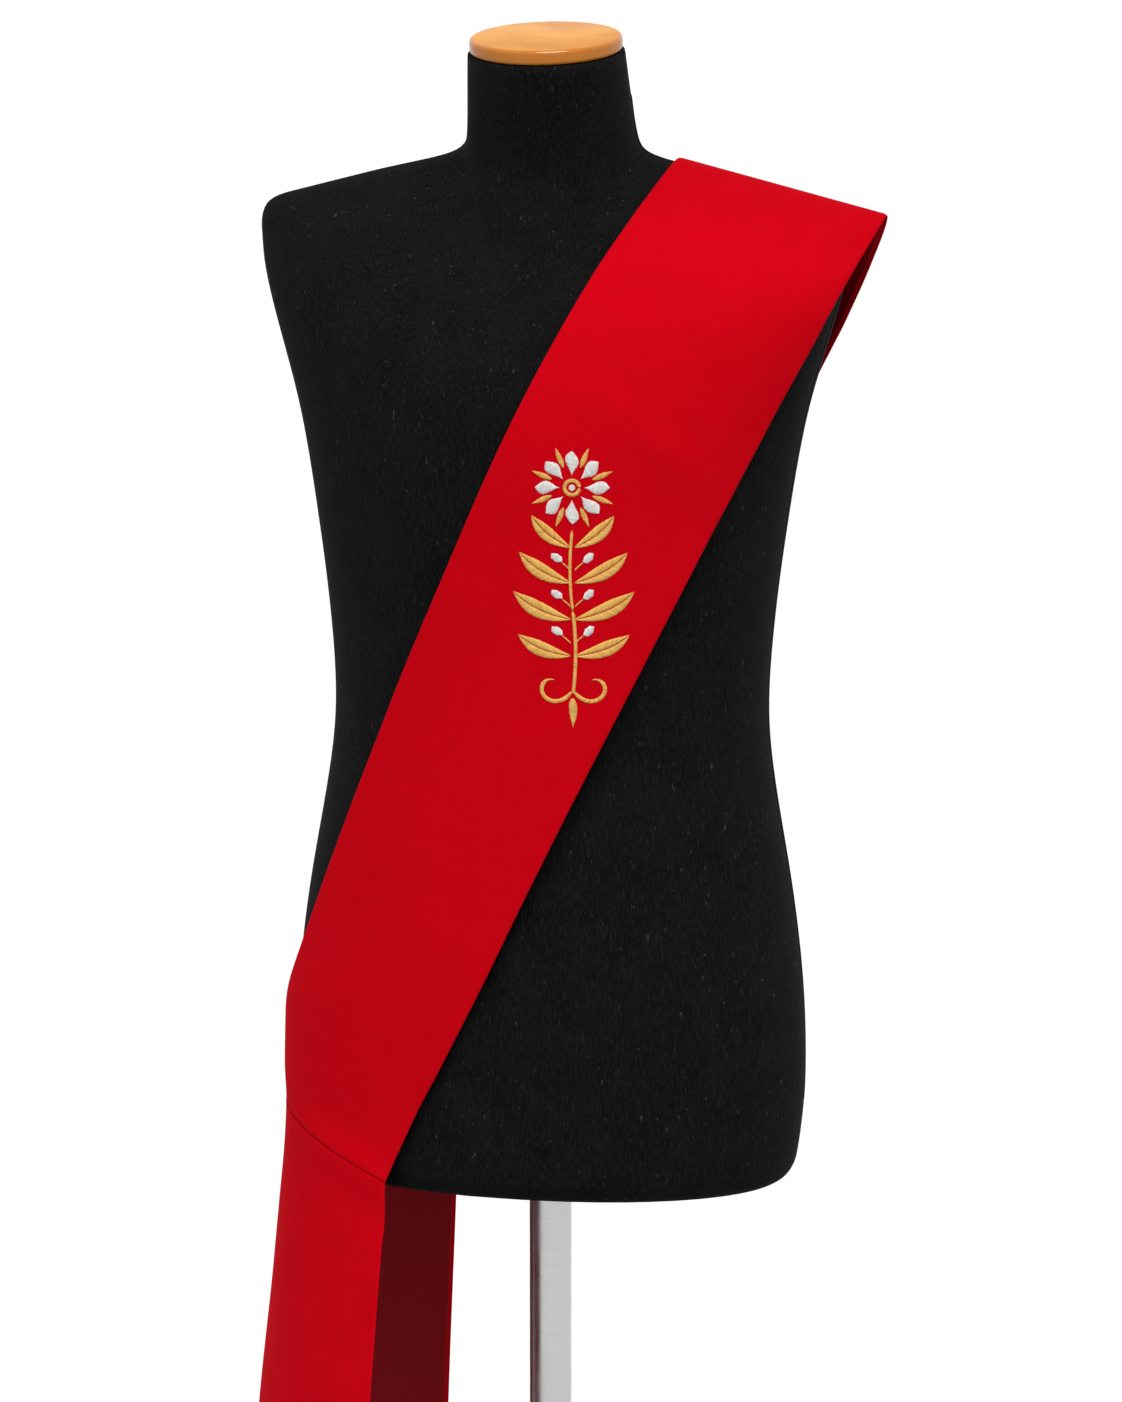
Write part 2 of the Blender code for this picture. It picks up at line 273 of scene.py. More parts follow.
def jersey_finish():
    """Matt black jersey: fine wales of knit, soft wear, and a scatter of pale lint."""
    material, tree, shader = new_finish("black_cotton_jersey", {
        "Roughness": 0.9, "Specular IOR Level": 0.04, "Sheen Weight": 0.01,
        "Sheen Roughness": 0.6, "Sheen Tint": (0.5, 0.5, 0.52, 1)})
    place = add_node(tree, "ShaderNodeTexCoord").outputs["Object"]
    wales = add_node(tree, "ShaderNodeMapping", {"Vector": place, "Scale": (820, 820, 150)})
    knit = add_node(tree, "ShaderNodeTexNoise", {
        "Vector": wales.outputs["Vector"], "Scale": 1.0, "Detail": 2.0, "Roughness": 0.7})
    wear = add_node(tree, "ShaderNodeTexNoise", {"Vector": place, "Scale": 26.0, "Detail": 6.0,
                                                 "Roughness": 0.65})
    fibres = add_node(tree, "ShaderNodeMapping", {"Vector": place, "Scale": (520, 520, 170),
                                                  "Rotation": (0.5, 0.3, 0.0)})
    lint = add_node(tree, "ShaderNodeTexNoise", {
        "Vector": fibres.outputs["Vector"], "Scale": 1.0, "Detail": 1.0, "Distortion": 0.8})
    specks = ranged(tree, lint.outputs["Fac"], 0.715, 0.80, 0.0, 0.5)
    worn = mixed_colour(tree, ranged(tree, wear.outputs["Fac"], 0.35, 0.7),
                        (0.0010, 0.0010, 0.0011, 1), (0.0024, 0.0024, 0.0025, 1))
    cloth = mixed_colour(tree, ranged(tree, knit.outputs["Fac"], 0.45, 0.72, 0.0, 0.6), worn,
                         (0.0078, 0.0078, 0.0080, 1))
    tree.links.new(mixed_colour(tree, specks, cloth, (0.046, 0.046, 0.044, 1)),
                   shader.inputs["Base Color"])
    relief = add_node(tree, "ShaderNodeBump", {
        "Height": knit.outputs["Fac"], "Strength": 0.5, "Distance": 0.0004})
    tree.links.new(relief.outputs["Normal"], shader.inputs["Normal"])
    return material


CAP_TILT = math.radians(8)       # the neck leans forward, and its cap with it
cap_up = Vector((0, -math.sin(CAP_TILT), math.cos(CAP_TILT)))
torso_low, torso_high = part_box("torso")
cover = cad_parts["torso"].data.copy()
cover.name = "jersey_torso"
cage = bmesh.new()
cage.from_mesh(cover)
bmesh.ops.remove_doubles(cage, verts=cage.verts, dist=MERGE_DISTANCE)
cage.edges.layers.float.new("crease_edge")
merged_ends(cage, Vector((0, 0, -1)), -torso_low.z - MERGE_DISTANCE, HIP_CRISPNESS)
merged_ends(cage, cap_up, torso_high.z * math.cos(CAP_TILT) - NECK_END_DEPTH, NECK_CRISPNESS)
bmesh.ops.join_triangles(cage, faces=[face for face in cage.faces if len(face.verts) == 3],
                         angle_face_threshold=QUAD_BEND, angle_shape_threshold=QUAD_SKEW)
cage.to_mesh(cover)
cage.free()
cover.shade_smooth()
cover.materials.clear()
cover.materials.append(jersey_finish())
torso = bpy.data.objects.new("jersey_torso", cover)
scene.collection.objects.link(torso)
rounding = torso.modifiers.new("stretched", "SUBSURF")
rounding.levels = rounding.render_levels = SMOOTHING_LEVELS
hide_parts("torso")
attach(torso, "root")


# --------------------------------------------------------------------------------------------
# Torso seams: the jersey cover is two halves, overlocked together up each side and over the
# shoulders to the neck. The seam's thin cord shows through the stretched cloth.
# --------------------------------------------------------------------------------------------
SEAM_CENTRE = Vector((0, 0.008, 1.2))
SEAM_FROM, SEAM_TO = math.radians(-65), math.radians(80)
SEAM_POINTS = 220
SEAM_RADIUS = 0.0007
SEAM_RISE = -0.0004              # of the cord's middle over the cover


def cord_tree():
    """Geometry Nodes that run a round cord along a guide's lines."""
    tree = bpy.data.node_groups.new("seam_cord", "GeometryNodeTree")
    sockets = tree.interface
    sockets.new_socket("Guide", in_out="INPUT", socket_type="NodeSocketGeometry")
    sockets.new_socket("Radius", in_out="INPUT", socket_type="NodeSocketFloat")
    sockets.new_socket("Cover", in_out="INPUT", socket_type="NodeSocketMaterial")
    cord = sockets.new_socket("Cord", in_out="OUTPUT", socket_type="NodeSocketGeometry")
    given = add_node(tree, "NodeGroupInput").outputs
    line = add_node(tree, "GeometryNodeMeshToCurve", {"Mesh": given["Guide"]})
    ring = add_node(tree, "GeometryNodeCurvePrimitiveCircle", {
        "Resolution": 8, "Radius": given["Radius"]})
    tube = add_node(tree, "GeometryNodeCurveToMesh", {
        "Curve": line.outputs["Curve"], "Profile Curve": ring.outputs["Curve"],
        "Fill Caps": True})
    real = add_node(tree, "GeometryNodeRealizeInstances", {"Geometry": tube.outputs["Mesh"]})
    finished = add_node(tree, "GeometryNodeSetMaterial", {
        "Geometry": real.outputs["Geometry"], "Material": given["Cover"]})
    add_node(tree, "NodeGroupOutput", {cord.identifier: finished.outputs["Geometry"]})
    return tree


def sewn_piece(name, guide, tree, settings):
    """Plain mesh of what a tree makes of a guide, with the tree's inputs set by name."""
    worker = bpy.data.objects.new(name + "_guide", guide)
    scene.collection.objects.link(worker)
    sewing = worker.modifiers.new("sewing", "NODES")
    sewing.node_group = tree
    for item in tree.interface.items_tree:
        if item.name in settings:
            sewing[item.identifier] = settings[item.name]
    seen = worker.evaluated_get(bpy.context.evaluated_depsgraph_get())
    piece = bpy.data.objects.new(name, bpy.data.meshes.new_from_object(seen))
    bpy.data.objects.remove(worker)
    scene.collection.objects.link(piece)
    return piece


cover_surface = BVHTree.FromObject(torso, bpy.context.evaluated_depsgraph_get())
seam_tree = cord_tree()
for seam_name, way in (("left_seam", 1), ("right_seam", -1)):
    seam_line = []
    for step in range(SEAM_POINTS):
        angle = SEAM_FROM + (SEAM_TO - SEAM_FROM) * step / (SEAM_POINTS - 1)
        out = Vector((way * math.cos(angle), 0, math.sin(angle)))
        seam_line.append(cover_surface.ray_cast(SEAM_CENTRE, out)[0] + out * SEAM_RISE)
    seam_guide = bpy.data.meshes.new(seam_name)
    seam_guide.from_pydata(seam_line, [(point, point + 1) for point in range(SEAM_POINTS - 1)],
                           [])
    seam = sewn_piece(seam_name + "_cord", seam_guide, seam_tree, {
        "Radius": SEAM_RADIUS, "Cover": cover.materials[0]})
    seam.data.shade_smooth()
    seam.parent = torso
    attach(seam, "root")


# --------------------------------------------------------------------------------------------
# Neck cap: a disc of beech turned from one board, its rims eased, stained honey and varnished.
# It is screwed down on the neck from inside and holds the cover's top edge.
# --------------------------------------------------------------------------------------------
CAP_RADIUS = 0.0565
CAP_THICKNESS = 0.011
CAP_EDGE = 0.003                 # how far the disc's rims are rounded
CAP_SIDES = 160


def varnished_beech_finish():
    """Honey-stained beech: slow growth rings, short flecks, and varnish, thickest at the rim."""
    material, tree, shader = new_finish("varnished_beech", {
        "Coat Roughness": 0.08, "Specular IOR Level": 0.03})
    place = add_node(tree, "ShaderNodeTexCoord").outputs["Object"]
    board = add_node(tree, "ShaderNodeMapping", {
        "Vector": place, "Location": (-0.055, 0.16, -1.40), "Rotation": (1.25, 0.0, 0.35)})
    rings = add_node(tree, "ShaderNodeTexWave", {
        "Vector": board.outputs["Vector"], "Scale": 22.0, "Distortion": 4.0, "Detail": 2.0,
        "Detail Scale": 0.8}, wave_type="RINGS", rings_direction="Z")
    grain = add_node(tree, "ShaderNodeMapping", {
        "Vector": board.outputs["Vector"], "Scale": (900, 900, 60)})
    flecks = add_node(tree, "ShaderNodeTexNoise", {
        "Vector": grain.outputs["Vector"], "Scale": 1.0, "Detail": 3.0})
    clouds = add_node(tree, "ShaderNodeTexNoise", {
        "Vector": board.outputs["Vector"], "Scale": 15.0, "Detail": 3.0})
    wood = mixed_colour(tree, ranged(tree, rings.outputs["Fac"], 0.1, 0.95),
                        (0.350, 0.134, 0.003, 1), (0.432, 0.182, 0.008, 1))
    stained = mixed_colour(tree, ranged(tree, clouds.outputs["Fac"], 0.38, 0.68, 0.0, 0.85),
                           wood, (0.300, 0.104, 0.004, 1))
    fleck_share = ranged(tree, flecks.outputs["Fac"], 0.60, 0.75, 0.0, 0.3)
    flecked = mixed_colour(tree, fleck_share, stained, (0.25, 0.08, 0.012, 1))
    level = add_node(tree, "ShaderNodeVectorMath", {
        "Vector": place, "Vector_001": (0, cap_middle.y, 0)}, operation="SUBTRACT")
    flat = add_node(tree, "ShaderNodeVectorMath", {
        "Vector": level.outputs["Vector"], "Vector_001": (1, 1, 0)}, operation="MULTIPLY")
    reach = add_node(tree, "ShaderNodeVectorMath", {"Vector": flat.outputs["Vector"]},
                     operation="LENGTH")
    rim = ranged(tree, reach.outputs["Value"], CAP_RADIUS - CAP_EDGE, CAP_RADIUS - CAP_EDGE / 3)
    side_share = ranged(tree, rim, 0.0, 1.0, 0.0, 0.86)
    tree.links.new(mixed_colour(tree, side_share, flecked, (0.275, 0.083, 0.003, 1)),
                   shader.inputs["Base Color"])
    tree.links.new(ranged(tree, rim, 0.0, 1.0, 0.13, 0.6), shader.inputs["Coat Weight"])
    tree.links.new(ranged(tree, clouds.outputs["Fac"], 0.3, 0.7, 0.28, 0.42),
                   shader.inputs["Roughness"])
    relief = add_node(tree, "ShaderNodeBump", {
        "Height": clouds.outputs["Fac"], "Strength": 0.15, "Distance": 0.0006})
    tree.links.new(relief.outputs["Normal"], shader.inputs["Coat Normal"])
    return material


cap_low, cap_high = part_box("neck_cap")
cap_middle = (cap_low + cap_high) / 2
neck_cap = turned_piece("beech_neck_cap", (
    Turn(0, -CAP_THICKNESS / 2, 0), Turn(CAP_RADIUS, -CAP_THICKNESS / 2, CAP_EDGE),
    Turn(CAP_RADIUS, CAP_THICKNESS / 2, CAP_EDGE), Turn(0, CAP_THICKNESS / 2, 0)),
    CAP_SIDES, varnished_beech_finish())
neck_cap.data.transform(Matrix.Translation(cap_middle) @ Matrix.Rotation(CAP_TILT, 4, "X"))
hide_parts("neck_cap")
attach(neck_cap, "root")


# --------------------------------------------------------------------------------------------
# Stole, front band: wool-blend twill over a firm interlining, turned in along both edges and
# lined with satin. Cut straight, it is eased over the shoulder by the seam behind the ridge,
# and ends at the hip in the side seam and the mitre.
# --------------------------------------------------------------------------------------------
MM = 0.001
CLOTH = 2.2                      # face cloth, interlining and lining together
SEAM_GAP = 0.06                  # the pieces are sewn edge to edge
RIDGE_X = 90                     # the line on top of the shoulder, and its fall outwards
RIDGE_HEIGHT = 1489.6
RIDGE_SLOPE = 0.25
ROLL = 80                        # depth below the ridge over which the cloth rounds the shoulder
SEAM_SWEEP = -math.pi / 8        # the shoulder seam, behind the ridge
SETTLE_ROUNDS = 6
HIP_DEPTH = 125                  # the ellipse's depth where the side seam is
SIDE_TURN = -90 + math.degrees(SEAM_GAP / 2 / HIP_DEPTH)    # half a gap short of the side

# What the stole's underside lies round: the ellipse at each height
Lay = namedtuple("Lay", "height centre half_width front back")
LAY = (
    Lay(200, 0, 245, 160, 162),
    Lay(400, 0, 238, 154, 156),
    Lay(520, 0, 229, 147, 149),
    Lay(640, 0, 216, 136, 138),
    Lay(760, 0, 203.5, 125, 127),
    Lay(800, 0, 204.5, 124, 128),
    Lay(860, 0, 202, 125, 130),
    Lay(920, 1, 195, 127, 129),
    Lay(1000, 3, 190, 129, 126),
    Lay(1120, 6, 188, 132, 120),
    Lay(1220, 8, 192, 137, 119),
    Lay(1300, 10, 210, 139, 120),
    Lay(1370, 12, 244, 122, 108),
    Lay(1410, 12, 266, 97, 91),
    Lay(1450, 12, 286, 66, 66),
    Lay(1490, 12, 298, 49, 49),
    Lay(1600, 12, 298, 49, 49),
)

# Where a band's edges lie: drop below the shoulder's line, and turn in degrees round the body
Band = namedtuple("Band", "outer_drop outer_turn inner_drop inner_turn")
BAND = (
    Band(0, 61.2, 0, 18.3),
    Band(44, 60.5, 39, 14.9),
    Band(104, 60.0, 84, 11.3),
    Band(174, 56.6, 139, 6.8),
    Band(254, 46.4, 211, -0.6),
    Band(354, 31.0, 309, -12.8),
    Band(454, 16.4, 409, -26.2),
    Band(554, 3.0, 511, -40.4),
    Band(654, -9.5, 616, -57.3),
    Band(708, -16.5, 672, -68.4),
    Band(752, -22.6, 714, -79.5),
    Band(784, -26.7, 748, -90.0),
    Band(805.5, -28.9, 790, -104.5),
)

# The turned edge in section: distance in from the edge, and heights above the underside of
# the face, of the face beside a seam, and of the back. The edge is a soft fold, and the lining
# stops short of it and is slip-stitched down.
Edge = namedtuple("Edge", "inset face seam back")
EDGE_MIDDLE = 0.9
FACE_FOLD = 3.6                  # how far in from its edge the face, a seam and the back round off
SEAM_FOLD = 2.0
BACK_FOLD = 1.1
BACK_DEPTH = 0.55                # of the turned-in twill below the fold's middle
LINING_INSET = 3.6
EDGE_INSETS = (0, 0.12, 0.4, 0.8, 1.3, 2.0, 3.0, LINING_INSET, 5.5, 8.0)


def folded(inset, reach, height):
    """Height of a rounded fold over its middle, at a distance in from its edge."""
    share = min(inset / reach, 1)
    return height * math.sqrt(1 - (1 - share) ** 2)


EDGE = tuple(
    Edge(inset, EDGE_MIDDLE + folded(inset, FACE_FOLD, CLOTH - EDGE_MIDDLE),
         EDGE_MIDDLE + folded(inset, SEAM_FOLD, CLOTH - EDGE_MIDDLE),
         EDGE_MIDDLE - folded(inset, BACK_FOLD, BACK_DEPTH) if inset < LINING_INSET else 0)
    for inset in EDGE_INSETS)
SPACING = 3.0                    # between the mesh's lines elsewhere
NEAR = 0.01                      # two places this close are the same

# Soft creases: each runs between two points of the cloth, given as its distance from the
# mitre seam along the cloth and from the inner edge across it, with its width and its height
# over the cloth (a trough's is below 0)
Crease = namedtuple("Crease", "along across to_along to_across width height")
FRONT_BAND_CREASES = (
    Crease(4, 44, 4, 172, 14, 1.9),          # the cloth puffs out over the mitre seam
    Crease(0, 142, 0, 200, 16, 0.8),
    Crease(80, 112, 420, 92, 52, 3.0),       # the band bellies out between its edges
    Crease(34, 20, 52, 150, 20, -0.25),
    Crease(70, 4, 118, 60, 13, 0.45),        # drawn round the hip
    Crease(112, 2, 150, 38, 9, -0.3),
    Crease(140, 6, 186, 74, 16, 0.5),
    Crease(195, 60, 204, 168, 24, 0.35),
    Crease(236, 96, 290, 24, 22, 0.6),
    Crease(320, 8, 342, 120, 19, -0.25),
    Crease(370, 70, 392, 172, 21, 0.35),
    Crease(420, 4, 460, 60, 18, 0.3),
    Crease(510, 168, 546, 112, 14, 0.4),
    Crease(630, 34, 600, 168, 15, 1.8),      # a soft break where the chest falls away
    Crease(680, 10, 658, 96, 24, 0.4),
    Crease(696, 165, 732, 60, 22, 0.45),
    Crease(762, 24, 776, 130, 20, 0.3),
    Crease(848, 12, 802, 52, 4.2, 0.30),     # fine pulls from the neck end of the shoulder
    Crease(846, 21, 796, 68, 4.0, 0.22),
    Crease(843, 33, 790, 80, 4.4, 0.28),
    Crease(841, 44, 786, 96, 4.2, 0.20),
    Crease(840, 58, 790, 108, 4.6, 0.16),
    Crease(824, 4, 796, 22, 4.0, 0.22),
)


def columns_at(table, keys):
    """The table's columns at values of its first one, on smooth curves through its rows."""
    rows = np.array(table, float)
    knots = rows[:, 0]
    keys = np.clip(keys, knots[0], knots[-1])
    low = np.clip(np.searchsorted(knots, keys) - 1, 0, len(knots) - 2)
    before = np.maximum(low - 1, 0)
    after = np.minimum(low + 2, len(knots) - 1)
    span = (knots[low + 1] - knots[low])[..., None]
    along = (keys - knots[low])[..., None] / span
    leave = (rows[low + 1] - rows[before]) / (knots[low + 1] - knots[before])[..., None] * span
    arrive = (rows[after] - rows[low]) / (knots[after] - knots[low])[..., None] * span
    values = ((2 * along**3 - 3 * along**2 + 1) * rows[low]
              + (along**3 - 2 * along**2 + along) * leave
              + (3 * along**2 - 2 * along**3) * rows[low + 1]
              + (along**3 - along**2) * arrive)
    return type(table[0])(*np.moveaxis(values, -1, 0))


def ring_points(turn, height, roll=1.0):
    """Points of the stole's underside at a turn and height; roll is 1 in front, -1 behind."""
    lay = columns_at(LAY, height)
    depth = np.where(np.asarray(roll) > 0, lay.front, lay.back)
    angle = np.radians(turn)
    return np.stack([lay.half_width * np.sin(angle),
                     lay.centre - roll * depth * np.cos(angle), height + 0 * angle], axis=-1)


def drop_of(sweep):
    """Drop below the shoulder's line at a sweep angle over the shoulder."""
    sweep = np.abs(sweep)
    return np.where(sweep < math.pi / 2, ROLL * (1 - np.cos(sweep)),
                    ROLL * (1 + sweep - math.pi / 2))


def sweep_of(drop):
    """The sweep angle at a drop below the shoulder's line."""
    return np.where(drop < ROLL, np.arccos(np.clip(1 - drop / ROLL, -1, 1)),
                    drop / ROLL - 1 + math.pi / 2)


def draped_points(turn, sweep):
    """Points of the stole's underside: sweep is above 0 in front and below 0 behind."""
    roll = np.sin(np.clip(sweep, -math.pi / 2, math.pi / 2))
    height = RIDGE_HEIGHT + 0 * turn
    for _ in range(SETTLE_ROUNDS):
        across = columns_at(LAY, height).half_width * np.sin(np.radians(turn))
        height = RIDGE_HEIGHT - RIDGE_SLOPE * (across - RIDGE_X) - drop_of(sweep)
    return ring_points(turn, height, roll)


def band_underside(sweeps, shares):
    """A band's underside: a row for each sweep, at shares from its inner to its outer edge."""
    band = columns_at(BAND, drop_of(sweeps))
    inner_sweep = np.where(sweeps < 0, -1, 1) * sweep_of(band.inner_drop)
    inner_turn = np.maximum(band.inner_turn, SIDE_TURN)[:, None]
    turn = inner_turn + (band.outer_turn[:, None] - inner_turn) * shares
    sweep = inner_sweep[:, None] + (sweeps - inner_sweep)[:, None] * shares
    return draped_points(turn, sweep)


def steps_between(points, axis):
    """Running distance along one axis of a grid of points, from 0."""
    lengths = np.linalg.norm(np.diff(points, axis=axis), axis=-1)
    start = np.zeros_like(np.take(lengths, [0], axis=axis))
    return np.cumsum(np.concatenate([start, lengths], axis=axis), axis=axis)


def lines_along(lengths, count):
    """Places of a mesh's lines along each length: the edge's own at both ends, even between."""
    lengths = np.asarray(lengths)[..., None]
    insets = np.array([edge.inset for edge in EDGE])
    even = np.linspace(0, 1, count + 2)[1:-1]
    middle = insets[-1] + (lengths - 2 * insets[-1]) * even
    return np.concatenate([insets + 0 * lengths, middle, lengths - insets[::-1]], axis=-1)


def crease_heights(creases, along, across):
    """Height that the creases give the cloth at each of its points."""
    total = np.zeros_like(across)
    for crease in creases:
        start = np.array([crease.along, crease.across])
        reach = np.array([crease.to_along, crease.to_across]) - start
        off = np.stack([along, across], axis=-1) - start
        share = np.clip(off @ reach / (reach @ reach), 0, 1)
        away = np.linalg.norm(off - share[..., None] * reach, axis=-1)
        fading = 0.35 + 0.65 * np.sin(math.pi * share)
        total += crease.height * fading * np.exp(-(away / crease.width) ** 2)
    return total


Cloth = namedtuple("Cloth", "piece length area lining_edges")
LiningEdge = namedtuple("LiningEdge", "places ways outs")
SURVEY_ROWS = 240
SURVEY_COLUMNS = 33


def cloth_piece(name, underside, side, creases, hemmed=False):
    """A lined piece of the stole, closed all round, with the size that it was cut to.

    underside(rows, shares) gives points of its underside, rows going from 0 to 1 down the
    cloth. A band's far end is its mitre; a tail starts at the mitre and ends in a hem.
    """
    shares = np.linspace(0, 1, SURVEY_COLUMNS)
    rows = np.linspace(0, 1, SURVEY_ROWS)
    spine = underside(rows, np.full((SURVEY_ROWS, 1), 0.5))[:, 0]
    run = steps_between(spine, 0)
    along = lines_along(run[-1], int(run[-1] / SPACING))
    rows = np.interp(along, run, rows)
    survey = steps_between(underside(rows, np.tile(shares, (len(rows), 1))), 1)
    widths = survey[:, -1]
    across = lines_along(widths, int(widths.mean() / SPACING))
    shares = np.stack([np.interp(*line, shares) for line in zip(across, survey)])
    points = underside(rows, shares)

    square = np.cross(np.gradient(points, along, axis=0),
                      np.gradient(points, across.mean(axis=0), axis=1))
    outward = square / np.linalg.norm(square, axis=-1, keepdims=True)
    facing = -1 if (outward[..., 1] * -side).sum() < 0 else 1
    outward = outward * facing

    down = np.tile(along[:, None], (1, across.shape[1]))
    from_seam = np.minimum(down, along[-1] - down)
    from_edge = np.minimum(across, widths[:, None] - across)
    if hemmed:
        from_seam = down
        from_edge = np.minimum(from_edge, along[-1] - down)
    from_mitre = down if hemmed else along[-1] - down
    edge = Edge(*np.array(EDGE).T)
    seam_back = np.where(edge.inset < SEAM_GAP, edge.back, 0)
    face_height = np.minimum(np.interp(from_edge, edge.inset, edge.face),
                             np.interp(from_seam, edge.inset, edge.seam))
    back_height = np.maximum(np.interp(from_edge, edge.inset, edge.back),
                             np.interp(from_seam, edge.inset, seam_back))
    folds = crease_heights(creases, from_mitre, across)
    face = points + outward * (face_height + folds)[..., None]
    back = points + outward * (back_height + folds)[..., None]

    face_index = np.arange(across.size).reshape(across.shape)
    back_index = face_index.copy()
    inner = back_index[1:-1, 1:-1]
    inner[:] = across.size + np.arange(inner.size).reshape(inner.shape)
    quads = [np.stack([index[:-1, :-1], index[:-1, 1:], index[1:, 1:], index[1:, :-1]],
                      axis=-1).reshape(-1, 4)[:, ::order]
             for index, order in ((face_index, -facing), (back_index, facing))]
    corners = np.concatenate([face.reshape(-1, 3), back[1:-1, 1:-1].reshape(-1, 3)]) * MM
    mesh = bpy.data.meshes.new(name)
    mesh.from_pydata(corners.tolist(), [], np.concatenate(quads).tolist())
    mesh.shade_smooth()
    mesh.materials.append(red_twill)
    mesh.materials.append(red_lining)
    from_fold = np.stack([from_edge[:-1, :-1], from_edge[:-1, 1:], from_edge[1:, 1:],
                          from_edge[1:, :-1]]).min(axis=0).ravel()
    lined = np.concatenate([np.zeros(from_fold.size, int),
                            (from_fold > LINING_INSET - NEAR).astype(int)])
    mesh.polygons.foreach_set("material_index", lined)

    places = np.stack([across, from_mitre], axis=-1) * MM
    places = np.concatenate([places.reshape(-1, 2), places[1:-1, 1:-1].reshape(-1, 2)])
    of_loop = np.empty(len(mesh.loops), int)
    mesh.loops.foreach_get("vertex_index", of_loop)
    cloth_map = mesh.uv_layers.new(name=CLOTH_MAP)
    cloth_map.uv.foreach_set("vector", places[of_loop].ravel())
    mesh.update()
    piece = bpy.data.objects.new(name, mesh)
    scene.collection.objects.link(piece)
    diagonals = np.cross(points[1:, 1:] - points[:-1, :-1], points[1:, :-1] - points[:-1, 1:])
    area = np.linalg.norm(diagonals, axis=-1).sum() / 2
    longest = steps_between(points, 0)[-1].max()

    start = [edge.inset for edge in EDGE].index(LINING_INSET)
    slant = (np.gradient(back, axis=1) + np.gradient(back, axis=0) / 2)
    ways = slant / np.linalg.norm(slant, axis=-1, keepdims=True)
    sides = [(slice(start, -start), start), (slice(start, -start), -start - 1)]
    if hemmed:
        sides.append((-start - 1, slice(start, -start)))
    lining_edges = [LiningEdge(back[side], ways[side], -outward[side]) for side in sides]
    return Cloth(piece, longest * MM, area * MM**2, lining_edges)


CLOTH_MAP = "cloth"              # across and along the cloth, in metres
TWILL_PITCH = 0.0009
PAINTED_SHOULDER_SHADE = (0.78, 0.86)      # along the cloth, where shade is painted into its colour over the top of the shoulder
PAINTED_SEAM_SHADE = (0.0, 0.0018)       # from the mitre, over which the painted shade in the bottom of the seam fades out


def twill_finish():
    """Crimson wool-blend twill: fine diagonal ribs, faint streaks along them, cloudy dye.

    Shade is painted into its colour over the top of the shoulder, where the cloth turns away from
    the light, and in the bottom of the mitre seam, where little light comes.
    """
    material, tree, shader = new_finish("crimson_twill", {
        "Roughness": 0.88, "Specular IOR Level": 0.012, "Sheen Weight": 0.10,
        "Sheen Roughness": 0.5, "Sheen Tint": (1.0, 0.01, 0.03, 1)})
    place = add_node(tree, "ShaderNodeUVMap", uv_map=CLOTH_MAP).outputs["UV"]
    slanted = add_node(tree, "ShaderNodeMapping", {
        "Vector": place, "Rotation": (0, 0, math.radians(45))})
    ribs = add_node(tree, "ShaderNodeTexWave", {
        "Vector": slanted.outputs["Vector"], "Scale": 0.314 / TWILL_PITCH, "Distortion": 0.6,
        "Detail": 1.0, "Detail Scale": 2.0}, wave_type="BANDS", bands_direction="X")
    stretched = add_node(tree, "ShaderNodeMapping", {
        "Vector": slanted.outputs["Vector"], "Scale": (300, 24, 1)})
    streaks = add_node(tree, "ShaderNodeTexNoise", {
        "Vector": stretched.outputs["Vector"], "Scale": 1.0, "Detail": 2.0})
    clouds = add_node(tree, "ShaderNodeTexNoise", {
        "Vector": place, "Scale": 34.0, "Detail": 4.0, "Roughness": 0.6})
    yarn = add_node(tree, "ShaderNodeTexNoise", {"Vector": place, "Scale": 1300.0,
                                                 "Detail": 1.0})
    dye = mixed_colour(tree, ranged(tree, clouds.outputs["Fac"], 0.3, 0.7),
                       (0.280, 0.0002, 0.0030, 1), (0.305, 0.0003, 0.0036, 1))
    streaked = mixed_colour(tree, ranged(tree, streaks.outputs["Fac"], 0.35, 0.65, 0.0, 0.35),
                            dye, (0.262, 0.0002, 0.0026, 1))
    along = add_node(tree, "ShaderNodeSeparateXYZ", {"Vector": place}).outputs["Y"]
    # Painted shade: the colour darkens over the top of the shoulder, where the cloth turns away
    # from the light
    shoulder_shade_share = ranged(tree, along, *PAINTED_SHOULDER_SHADE, 0.0, 0.30)
    yarns = mixed_colour(tree, ranged(tree, yarn.outputs["Fac"], 0.4, 0.7, 0.0, 0.25),
                         streaked, (0.335, 0.0006, 0.0045, 1))
    shoulder_shaded = mixed_colour(tree, shoulder_shade_share, yarns, (0.15, 0.0001, 0.0018, 1))
    # Painted shade: a dark line in the bottom of the mitre seam, where little light comes
    seam_shade_share = ranged(tree, along, *PAINTED_SEAM_SHADE, 0.5, 0.0)
    tree.links.new(mixed_colour(tree, seam_shade_share, shoulder_shaded, (0.12, 0.0001, 0.0014, 1)),
                   shader.inputs["Base Color"])
    weave = add_node(tree, "ShaderNodeBump", {
        "Height": ribs.outputs["Fac"], "Strength": 0.35, "Distance": 0.00012})
    slub = add_node(tree, "ShaderNodeBump", {
        "Height": streaks.outputs["Fac"], "Normal": weave.outputs["Normal"], "Strength": 0.35,
        "Distance": 0.00025})
    tree.links.new(slub.outputs["Normal"], shader.inputs["Normal"])
    return material


